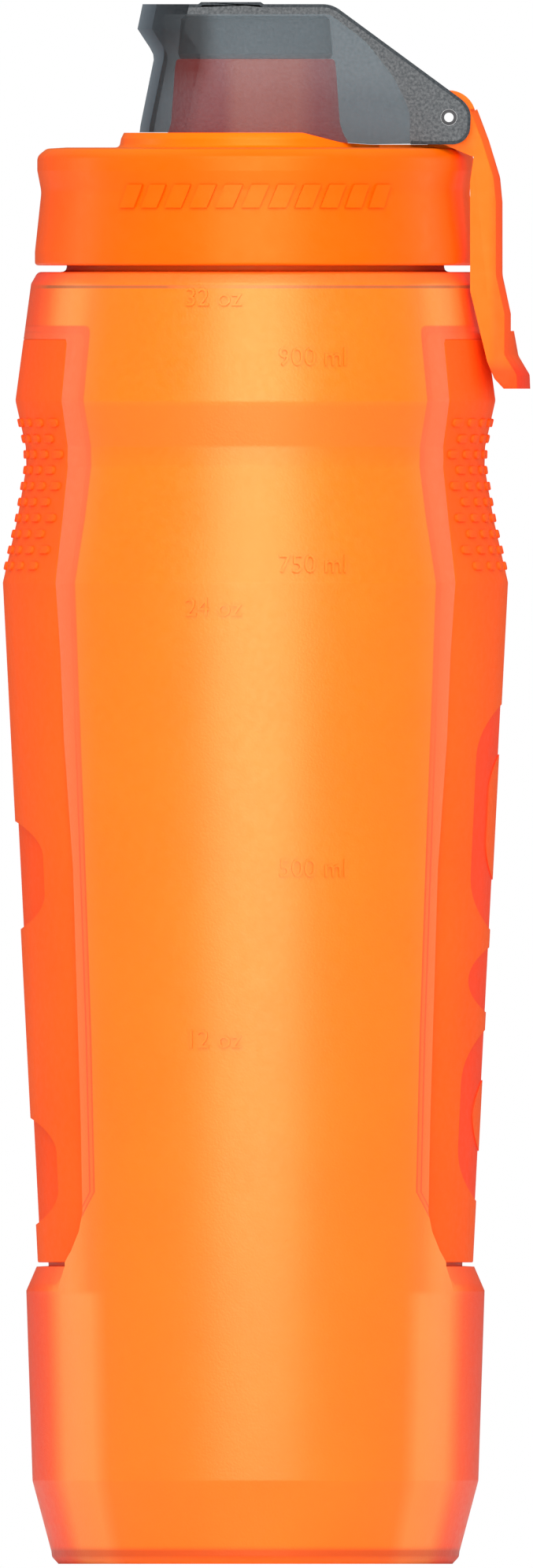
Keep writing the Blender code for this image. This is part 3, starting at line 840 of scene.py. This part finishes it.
def volume_mark(text, middle_x, middle_z):
    """Raised lettering bent round the bottle's front."""
    data = bpy.data.curves.new("mark", "FONT")
    data.body = text
    data.size = MARK_SIZE
    data.align_x = "CENTER"
    data.align_y = "CENTER"
    data.extrude = 0.5
    data.resolution_u = 3
    curve = bpy.data.objects.new("mark", data)
    bpy.context.scene.collection.objects.link(curve)
    bpy.context.view_layer.update()
    mesh = bpy.data.meshes.new_from_object(curve.evaluated_get(bpy.context.evaluated_depsgraph_get()))
    bpy.data.objects.remove(curve, do_unlink=True)
    for vert in mesh.vertices:
        x, z, out = vert.co
        height = middle_z + z
        radius = body_r(height) + (MARK_PROUD if out > 0 else -0.4)
        turn = (middle_x + x) / body_r(height)
        vert.co = (radius * sin(turn) * MM, -radius * cos(turn) * MM, height * MM)
    bm = bmesh.new()
    bm.from_mesh(mesh)
    bmesh.ops.remove_doubles(bm, verts=bm.verts, dist=0.000005)
    return new_object(bm, "mark")


# ---- Grips ------------------------------

# Recesses in the grips' faces: (low height, high height, half-angle, height of the round ends, depth, width of
# the rim round a middle that stays raised, or 0).
FRONT_SLOTS = [(107.6, 125.9, 27.0, 6.0, 0.55, 0.0), (57.5, 75.6, 27.0, 6.0, 0.55, 0.0)]
REAR_SLOTS = [(107.5, 145.7, 25.0, 9.0, 0.22, 8.5), (93.5, 104.5, 23.5, 5.5, 0.22, 0.0)]
REAR_SLOTS += [(61.5, 90.5, 25.0, 9.0, 0.22, 8.5)]


def eased(distance, radius):
    """How far a rounded edge has dropped at a distance from the edge."""
    if distance >= radius:
        return 0.0
    return radius - sqrt(max(0.0, radius * radius - (radius - distance) ** 2))


def grip_shares():
    """Column places: even across the face, closer at both edges for the rounding."""
    edge = [0.0, 0.0008, 0.0022, 0.0044, 0.0066, 0.011]
    middle = [2.0 * (0.5 - i / 30) * 0.97 for i in range(31)]
    right = [1.0 - e for e in edge]
    return [-share for share in right] + middle[::-1] + right[::-1]


def grip_rows(step):
    """Row heights: about a step apart on the face, closer at both ends for the rounding."""
    turns = [PANEL_HALF_ANGLE, BODY_LINE]
    edge = [0.0, 0.02, 0.06, 0.12, 0.18, 0.26]
    inner = thinned(heights(PANEL_LOW + edge[-1], PANEL_HIGH - edge[-1], step, *turns), 0.2)
    return [PANEL_LOW + e for e in edge[:-1]] + inner + [PANEL_HIGH - e for e in edge[-2::-1]]


def slot_rows(low_z, high_z, half_angle, ends, deep):
    """Rows of an upright patch with round ends, from a depth in the grip to above its face."""
    rows = []
    for i in range(33):
        z = low_z + (high_z - low_z) * (0.5 - 0.5 * cos(pi * i / 32))
        short = max(0.0, 1.0 - min(z - low_z, high_z - z) / ends)
        half = half_angle * max(0.03, sqrt(1.0 - short**2))
        rows.append((z, panel_r(z) - deep, panel_r(z) + 1.0, half, half, 0.0))
    return rows


def slot_recess(side, low_z, high_z, half_angle, ends, deep, rim, material):
    """A cutter for a slot with round ends in a grip's face. With a rim, the slot's middle stays."""
    rows = slot_rows(low_z, high_z, half_angle, ends, deep)
    made = paint(patch("slot", rows, side, even(20)), material)
    if rim > 0:
        inner = slot_rows(low_z + rim, high_z - rim, half_angle - rim * 1.15, ends * 0.75, deep)
        inner = [(z, r_in - 1.0, r_out + 1.0, *angles) for z, r_in, r_out, *angles in inner]
        boolean(made, "DIFFERENCE", paint(patch("island", inner, side, even(20)), material))
    return made


def nub_mesh(side, angle, z):
    """One rounded nub on the grip's face."""
    bm = bmesh.new()
    bmesh.ops.create_cube(bm, size=1.0)
    bmesh.ops.scale(bm, vec=(NUB_DEEP, NUB_WIDE, NUB_TALL), verts=bm.verts)
    along = [e for e in bm.edges if abs(e.verts[0].co.x - e.verts[1].co.x) > NUB_DEEP / 2]
    bmesh.ops.bevel(bm, geom=along, offset=NUB_TALL * 0.42, segments=4, affect="EDGES", profile=0.5)
    rim = [e for e in bm.edges if all(v.co.x > NUB_DEEP / 2 - 0.05 for v in e.verts)]
    bmesh.ops.bevel(bm, geom=rim, offset=0.2, segments=2, affect="EDGES", profile=0.5)
    slope = Vector((panel_r(z + 1.0) - panel_r(z - 1.0), 0.0, 2.0)).normalized()
    lean = Vector((0.0, 0.0, 1.0)).rotation_difference(slope).to_matrix().to_4x4()
    place = Matrix.Translation((panel_r(z) - 0.22, 0.0, z))
    turn = Matrix.Rotation(radians(angle) if side > 0 else pi - radians(angle), 4, "Z")
    bmesh.ops.transform(bm, matrix=Matrix.Scale(MM, 4) @ turn @ place @ lean, verts=bm.verts)
    mesh = bpy.data.meshes.new("nub")
    bm.to_mesh(mesh)
    bm.free()
    return mesh


def nubs(side):
    """Rows of nubs, each row half a step aside from the one above it."""
    bm = bmesh.new()
    for row in range(NUB_ROWS):
        shift = 0.5 * (row % 2)
        for column in range(-4, 5 - row % 2):
            mesh = nub_mesh(side, (column + shift) * NUB_STEP_ANGLE, NUB_TOP - NUB_PITCH * row)
            bm.from_mesh(mesh)
            bpy.data.meshes.remove(mesh)
    return new_object(bm, "nubs")


def grip_face(r, width, drop):
    """A grip's outer radius as a function of the share of its half-angle, with its sides rounded."""
    return lambda share: r - max(drop, eased((1.0 - abs(share)) * width, PANEL_EDGE_ROUND))


def grip(word, side, material, *recesses):
    rows = []
    for z in grip_rows(2.0):
        half = at_height(PANEL_HALF_ANGLE, z)
        r = panel_r(z)
        drop = eased(min(z - PANEL_LOW, PANEL_HIGH - z), PANEL_EDGE_ROUND)
        rows.append((z, r - PANEL_THICK, grip_face(r, radians(half) * r, drop), half, half, 0.0))
    made = paint(patch(word + "_grip", rows, side, grip_shares()), material)
    boolean(made, "DIFFERENCE", *recesses)
    made = joined(made, paint(nubs(side), material))
    dress(made, material, 30.0)
    settle(made, "bottle", "grip_rubber", word + "_grip_panel")


def grips():
    rubber = grip_look("grip_rubber", (1.0, 0.106, 0.005), (0.98, 0.096, 0.004))
    # The recesses in the grips take darker, redder rubber, which is painted shade.
    sunk = grip_look("grip_recess", (0.98, 0.078, 0.003), (0.94, 0.070, 0.003))
    red = grip_look("grip_recess_red", (1.0, 0.060, 0.012), (0.96, 0.052, 0.010))
    grip("front", -1.0, rubber, *(slot_recess(-1.0, *slot, sunk) for slot in FRONT_SLOTS))
    grip("rear", 1.0, rubber, *(slot_recess(1.0, *slot, red) for slot in REAR_SLOTS))


# ---- Cap ------------------------------

CAP_OUTLINE = [
    (36.0, CAP_LOW, 0.0),
    (37.4, CAP_LOW, 0.8),
    (37.4, 222.4, 1.5),
    (36.3, 232.6, 5.0),
    (37.0, 236.2, 1.2),
    (37.0, 238.6, 1.6),
    (35.4, 239.9, 1.6),
    (32.0, CAP_TOP, 1.0),
    (26.0, CAP_TOP, 0.0),
]


def collar():
    """The raised disc round the nozzle, level to the front and down in an S-curve towards the hinge."""
    foot = [(COLLAR_R - 0.9, 243.4, 0.0), (COLLAR_R, 241.6, 0.6), (COLLAR_R + 0.25, 240.2, 0.8)]
    foot = rounded(foot + [(COLLAR_R + 2.4, 239.9, 0.0)], 6) + [(COLLAR_R + 2.4, 239.0), (0.0, 239.0)]
    disc = turned("collar", [(0.0, 243.4)] + foot, 144, closed=False)
    top = [(-30.0, COLLAR_TOP, 0.0), (8.0, COLLAR_TOP, 5.0), (14.5, 240.94, 6.0)]
    top += [(19.5, COLLAR_LOW, 3.0), (30.0, COLLAR_LOW, 0.0)]
    boolean(disc, "INTERSECT", slab("collar_top", rounded(top, 8) + [(30.0, 238.0), (-30.0, 238.0)], 30.0))
    return disc


def ear():
    """The knuckle on the cap that the hinge's pin goes through."""
    outline = arc(HINGE_X, HINGE_Z, 3.3, 0.0, 180.0, 16)
    outline += [(HINGE_X - 3.6, COLLAR_LOW), (21.0, COLLAR_LOW), (21.0, 239.2), (HINGE_X + 0.6, 239.2)]
    outline += [(HINGE_X + 3.3, 242.0)]
    return slab("ear", outline, 10.2)


TICKS = 11
TICK_STEP_ANGLE = 7.0
TICK_HALF_ANGLE = 2.45
TICK_SLANT_ANGLE = 2.6
TICK_LOW = 229.9
TICK_TALL = 3.9
TICK_PROUD = 0.55


def cap_ticks():
    """A row of low slanted ticks round the front of the cap."""
    line = rounded(CAP_OUTLINE, 7)
    ticks = []
    for i in range(TICKS):
        turn = -90.0 + (i - (TICKS - 1) / 2) * TICK_STEP_ANGLE
        rows = []
        for k in range(7):
            share = k / 6
            z = TICK_LOW + TICK_TALL * share
            r = at_height(line, z)
            proud = TICK_PROUD if 0 < k < 6 else TICK_PROUD - 0.08
            middle = turn + TICK_SLANT_ANGLE * (share - 0.5)
            rows.append((z, r - 0.5, r + proud, TICK_HALF_ANGLE, TICK_HALF_ANGLE - 0.1, middle))
        ticks.append(patch("tick", rows, 1.0, even(4)))
    return ticks


def cap():
    outside = rounded(CAP_OUTLINE, 7)[::-1]
    profile = [(0.0, CAP_TOP)] + outside + [(CAP_BORE_R + 0.4, CAP_LOW), (CAP_BORE_R, CAP_LOW + 0.5)]
    profile += [(CAP_BORE_R, CAP_CEILING), (0.0, CAP_CEILING)]
    made = turned("cap_shell", profile, BODY_STEPS, closed=False)
    boolean(made, "UNION", collar(), ear())
    seat = turned("seat", [(0.0, 250.0), (16.0, 250.0), (16.0, 239.0), (0.0, 239.0)], 96, closed=False)
    hole = turned("hole", [(0.0, 245.0), (12.0, 245.0), (12.0, 230.0), (0.0, 230.0)], 96, closed=False)
    boolean(made, "DIFFERENCE", seat, hole, hinge_bore(PIN_HOLE_R))
    for i in range(THREAD_STARTS):
        start = 2 * pi * (i + 0.5) / THREAD_STARTS
        boolean(made, "UNION", thread_ridge(CAP_BORE_R, 32.45, 222.4, 0.6, start))
    soften(made, 0.25, 40.0, 2)
    made = joined(made, *cap_ticks())
    dress(made, cap_look(), 30.0)
    settle(made, "cap", "cap_plastic", "screw_cap")


def nozzle():
    base = 239.3
    outside = [(9.3, 254.4, 0.0), (9.6, 255.1, 0.5), (13.4, 255.1, 0.7), (13.65, 253.5, 2.0)]
    outside += [(14.3, 244.2, 3.0), (15.0, 242.2, 3.0), (15.65, 241.2, 0.4), (15.65, base, 0.0)]
    profile = rounded(outside, 6) + [(12.3, base), (12.3, 243.0), (11.9, 246.0), (11.9, 252.8), (9.3, 252.8)]
    made = turned("nozzle_skin", profile, 96)
    dress(made, nozzle_look(), 35.0)
    settle(made, "cap", "nozzle_rubber", "spout_nozzle")


def seal():
    """The stopper under the cover's roof, whose flange lies on the nozzle."""
    foot = low("cover_seal", 2)
    roof = high("cover_seal", 2)
    reach = high("cover_seal", 1)
    outline = [(0.0, foot, 0.0), (7.6, foot, 0.8), (8.4, 255.13, 0.3), (reach - 0.3, 255.13, 0.3)]
    outline += [(reach, 256.0, 0.4), (reach - 0.5, roof - 0.6, 0.6), (reach - 1.2, roof, 0.4)]
    outline += [(0.0, roof, 0.0)]
    made = turned("stopper", rounded(outline, 5), 96, closed=False)
    dress(made, silicone_look("seal_grey", (0.30, 0.335, 0.355)), 35.0)
    settle(made, "cover", "seal_rubber", "cover_seal")


# ---- Cover ------------------------------

# Where the cover's nose is at each height, outside and inside: (x, height).
COVER_FRONT = [(-20.2, 238.0), (-19.5, 243.9), (-17.25, 255.0), (-17.35, 255.9), (-17.9, 257.0)]
COVER_FRONT += [(-18.9, 258.5), (-20.0, 260.2), (-19.2, 264.1), (-18.8, 266.0)]
CAVITY_FRONT = [(-18.9, 236.0), (-17.9, 244.0), (-15.5, 255.5), (-15.5, 264.0)]
COVER_FOOT = 242.66
EDGE_WIDE = 0.55


def nose_loft(name, front, half_width, wide, trail):
    """A block whose front end is a faceted nose. Wide is the half-width of the nose's flat, and trail that of
    the block behind the nose."""
    reach = half_width - wide
    corners = [(0.0, wide), (2.4, wide + 0.45 * reach), (5.4, wide + 0.8 * reach), (7.9, half_width)]
    corners += [(7.9 + 4.0 * (trail - half_width), trail)]
    bm = bmesh.new()
    rings = []
    for nose, z in front:
        side = [(nose + back, y) for back, y in corners] + [(45.0, trail)]
        ring = side + [(x, -y) for x, y in side[::-1]]
        rings.append([bm.verts.new((x * MM, y * MM, z * MM)) for x, y in ring])
    skin(bm, rings)
    bm.faces.new(rings[0])
    bm.faces.new(rings[-1])
    return new_object(bm, name)


def cover_roof():
    """The top of the cover seen from the side, from front to back."""
    line = [(-26.0, 264.4, 0.0), (-9.7, 264.4, 0.2), (-9.2, 264.75, 0.3), (0.9, 264.75, 0.3)]
    line += [(1.4, 264.4, 0.2), (13.0, 264.4, 5.0), (18.6, 260.3, 3.0), (34.9, 248.3, 0.0)]
    corner = arc(33.4, 243.64, 3.02, -5.0, -90.0, 10)
    return rounded(line, 8) + arc(HINGE_X, HINGE_Z, 3.7, 50.0, 0.0, 8)[1:] + corner + [(26.4, 240.62)]


def cavity_roof():
    """The top of the room inside, from front to back."""
    line = [(-26.0, 262.7, 0.0), (12.6, 262.7, 1.6), (18.7, 258.1, 12.0), (23.6, 251.8, 12.0)]
    line += [(26.2, 246.2, 8.0), (26.2, 240.72, 0.0)]
    return rounded(line, 8)


def offset(line, distance):
    """A line of (x, z) points moved sideways, to the right of its course."""
    moved = []
    for i, (x, z) in enumerate(line):
        before = Vector(line[max(i - 1, 0)])
        after = Vector(line[min(i + 1, len(line) - 1)])
        along = (after - before).normalized()
        moved.append((x + along.y * distance, z - along.x * distance))
    return moved


def zoned_slab(clear, solid, edge):
    """The cover's side view as a slab, whose sides are in three faces: over the room inside, round it, and a
    narrow rim under the roof's line."""
    foot = [(19.5, 240.62, 3.0), (14.5, 240.98, 6.0), (8.0, COVER_FOOT, 5.0), (-26.0, COVER_FOOT, 0.0)]
    lines = {"roof": cover_roof(), "rim": offset(cover_roof(), EDGE_WIDE), "inner": cavity_roof()}
    lines["lower"] = rounded([lines["inner"][-1] + (0.0,)] + foot, 8)[1:]
    bm = bmesh.new()
    outlines = []
    for y in (-COVER_HALF_WIDTH, COVER_HALF_WIDTH):
        side = {}
        for name, line in lines.items():
            side[name] = [bm.verts.new((x * MM, y * MM, z * MM)) for x, z in line]
        bm.faces.new(side["inner"] + side["lower"]).material_index = 0
        bm.faces.new(side["rim"] + side["inner"][::-1]).material_index = 1
        bm.faces.new(side["roof"] + [side["inner"][-1]] + side["rim"][::-1]).material_index = 2
        end = side["lower"] + [side["inner"][0], side["rim"][0]]
        outlines.append(side["roof"] + [side["inner"][-1]] + end)
    near, far = outlines
    for i in range(len(near)):
        j = (i + 1) % len(near)
        face = bm.faces.new((near[i], near[j], far[j], far[i]))
        face.material_index = int(i < len(lines["roof"]) and near[i].co.x > 26.4 * MM)
    return paint(new_object(bm, "cover_side"), clear, solid, edge)


def paint_trim(made, corner_highlight, edge):
    """Gives the nose's slanted corners the lighter, more open material as a painted highlight, and the faces
    under the cover's foot the dark edge material as a painted contact shadow.
    """
    paint(made, corner_highlight)
    materials = list(made.data.materials)
    for face in made.data.polygons:
        # The slanted corners of the nose get the painted highlight.
        if face.center.x < -11.0 * MM and 0.3 < abs(face.normal.y) < 0.55:
            face.material_index = materials.index(corner_highlight)
        # The faces under the cover's foot get the dark edge material as a painted contact shadow.
        elif face.center.z < 243.5 * MM and face.normal.z < -0.1:
            face.material_index = materials.index(edge)


def cover():
    clear = cover_look("smoke_clear", (0.085, 0.108, 0.120), (0.145, 0.175, 0.190), 0.18, 0.62, zoned=True)
    solid = cover_look("smoke_solid", (0.050, 0.056, 0.060), (0.110, 0.118, 0.122), 0.06)
    # Nearly black; on the cover's foot it is a painted contact shadow.
    edge = cover_look("smoke_edge", (0.022, 0.027, 0.031), (0.048, 0.055, 0.060), 0.06)
    # Lighter and more open, for the nose's slanted corners: a painted highlight.
    corner_highlight = cover_look("smoke_corner_painted_highlight", (0.13, 0.14, 0.15), (0.19, 0.20, 0.21), 0.5, 0.84)
    made = paint(nose_loft("cover_shell", COVER_FRONT, COVER_HALF_WIDTH, 7.0, COVER_HALF_WIDTH + 0.4), clear)
    boolean(made, "INTERSECT", zoned_slab(clear, solid, edge))
    soften(made, 0.45, 16.0, 3)
    paint_trim(made, corner_highlight, edge)
    inside = COVER_HALF_WIDTH - COVER_WALL
    cavity = paint(nose_loft("cavity", CAVITY_FRONT, inside, 6.0, inside), clear)
    cavity_side = slab("cavity_side", cavity_roof() + [(26.2, 236.0), (-26.0, 236.0)], 30.0)
    boolean(cavity, "INTERSECT", paint(cavity_side, clear))
    room_y = ARM_OUTER_Y + 0.3
    room = paint(box("room", (HINGE_ROOM_X, -room_y, 236.0), (45.0, room_y, 270.0)), solid)
    boolean(made, "DIFFERENCE", cavity, room, paint(hinge_bore(PIN_R + 0.03), solid))
    dress(made, clear, 18.0)
    settle(made, "cover", "cover_plastic", "flip_cover")


# ---- Loop ------------------------------

LOOP_OUTER = [
    (46.6, 199.2, 0.0),
    (46.5, 201.6, 1.0),
    (44.6, 204.8, 2.0),
    (43.3, 212.0, 6.0),
    (41.9, 218.5, 6.0),
    (41.9, 230.8, 3.0),
    (41.5, 235.0, 4.0),
    (39.6, 241.3, 4.0),
    (37.6, 246.6, 0.0),
]
LOOP_INNER = [
    (42.1, 199.2, 0.0),
    (40.5, 200.9, 1.2),
    (39.3, 203.8, 2.0),
    (36.4, 215.8, 4.0),
    (36.4, 234.3, 3.0),
    (37.0, 238.5, 0.0),
]


def loop():
    inner_line = rounded(LOOP_INNER, 5)
    outer_line = rounded(LOOP_OUTER, 5)
    knuckle = arc(HINGE_X, HINGE_Z, 4.6, 15.0, 250.0, 28)
    made = slab("loop_shell", outer_line + knuckle + inner_line[::-1], ARM_OUTER_Y)
    # Both faces are turned about the bottle's axis: the inner one meets its line at the arms' outer sides, and
    # the outer one at their inner sides or, below the window, near the middle.
    inner = [(0.0, 238.5)] + [(hypot(x, ARM_OUTER_Y), z) for x, z in inner_line[::-1]]
    inner += [(hypot(42.1, ARM_OUTER_Y), 190.0), (0.0, 190.0)]
    outer = [(0.0, 260.0), (60.0, 260.0), (60.0, 247.0)]
    for x, z in outer_line[::-1]:
        reach = ARM_INNER_Y if z > 210.0 else 2.0
        outer.append((hypot(x, reach), z))
    outer += [(46.65, 190.0), (0.0, 190.0)]
    boolean(made, "DIFFERENCE", turned("loop_inner", inner, 256, closed=False))
    boolean(made, "INTERSECT", turned("loop_outer", outer, 256, closed=False))
    window = box("window", (20.0, -ARM_INNER_Y, LOOP_BAR_TOP), (60.0, ARM_INNER_Y, 260.0))
    boolean(made, "DIFFERENCE", window, hinge_bore(PIN_HOLE_R))
    soften(made, 0.5, 40.0, 3)
    dress(made, loop_look(), 30.0)
    settle(made, "loop", "cap_plastic", "carry_loop")


# ---- CAD nodes that stay ------------------------------


def dress_nodes():
    """Materials for the CAD nodes that no piece replaces."""
    clear = silicone_look("valve_silicone", (0.82, 0.82, 0.79))
    looks = {
        "neck_gasket": clear,
        "slit_valve": clear,
        "valve_retainer": silicone_look("retainer_white", (0.80, 0.80, 0.78)),
        "hinge_pin": silicone_look("pin_dark", (0.03, 0.03, 0.033)),
    }
    for name, material in looks.items():
        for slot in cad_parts[name].material_slots:
            slot.material = material


# ---- Stage ------------------------------

# How strongly the white surroundings light the surface, and how strongly they show in its gloss.
AMBIENT = 0.74
GLOSS_AMBIENT = 0.15
VIEW_TALL = 0.2658
VIEW_MIDDLE_Z = 0.1322
LIGHT_TARGET = (0.0, 0.0, 0.13)


def stage():
    """A plain pale floor."""
    bm = bmesh.new()
    bmesh.ops.create_grid(bm, x_segments=1, y_segments=1, size=1.5)
    floor = new_object(bm, "floor")
    look = Look("floor_pale", (0.68, 0.68, 0.68), 0.7, 0.2)
    look.colour(look.ramp(look.noise(3.0), (0.3, (0.67, 0.67, 0.67)), (0.7, (0.69, 0.69, 0.69))))
    floor.data.materials.append(look.material)


def soft_light(name, place, target, size, power):
    """A soft box that faces a target."""
    data = bpy.data.lights.new(name, "AREA")
    data.shape = "RECTANGLE"
    data.size, data.size_y = size
    data.energy = power
    light = bpy.data.objects.new(name, data)
    bpy.context.scene.collection.objects.link(light)
    light.location = place
    light.rotation_euler = (Vector(target) - Vector(place)).to_track_quat("-Z", "Y").to_euler()


def studio_world():
    """A white studio: plain white to look at, and darker in gloss, as between soft boxes."""
    world = bpy.data.worlds.new("studio")
    world.use_nodes = True
    tree = world.node_tree
    background = tree.nodes["Background"]
    background.inputs["Color"].default_value = (1.0, 1.0, 1.0, 1.0)
    path = tree.nodes.new("ShaderNodeLightPath")
    seen = tree.nodes.new("ShaderNodeMath")
    seen.operation = "MULTIPLY_ADD"
    seen.inputs[1].default_value = 1.0 - AMBIENT
    seen.inputs[2].default_value = AMBIENT
    tree.links.new(path.outputs["Is Camera Ray"], seen.inputs[0])
    gloss = tree.nodes.new("ShaderNodeMath")
    gloss.operation = "MULTIPLY_ADD"
    gloss.inputs[1].default_value = GLOSS_AMBIENT - AMBIENT
    tree.links.new(path.outputs["Is Glossy Ray"], gloss.inputs[0])
    tree.links.new(seen.outputs["Value"], gloss.inputs[2])
    tree.links.new(gloss.outputs["Value"], background.inputs["Strength"])
    bpy.context.scene.world = world


def light():
    studio_world()
    bpy.context.scene.view_settings.view_transform = "Standard"
    soft_light("front_strip", (0.0, -0.7, 0.15), LIGHT_TARGET, (0.52, 0.75), 5.4)
    soft_light("upper_box", (0.0, -0.5, 0.66), LIGHT_TARGET, (0.5, 0.3), 2.6)
    for side in (-1.0, 1.0):
        soft_light("side_strip", (0.68 * side, 0.14, 0.15), LIGHT_TARGET, (0.13, 0.75), 0.7)


def camera():
    """Straight from the front, without perspective, with a narrow margin round the bottle."""
    low_corner, high_corner = CAD_BOX
    data = bpy.data.cameras.new("camera")
    data.type = "ORTHO"
    data.ortho_scale = VIEW_TALL
    made = bpy.data.objects.new("camera", data)
    bpy.context.scene.collection.objects.link(made)
    made.location = ((low_corner[0] + high_corner[0]) / 2, -1.0, VIEW_MIDDLE_Z)
    made.rotation_euler = (pi / 2, 0.0, 0.0)
    bpy.context.scene.camera = made


def main():
    bottle()
    grips()
    cap()
    nozzle()
    seal()
    cover()
    loop()
    dress_nodes()
    stage()
    light()
    camera()


main()
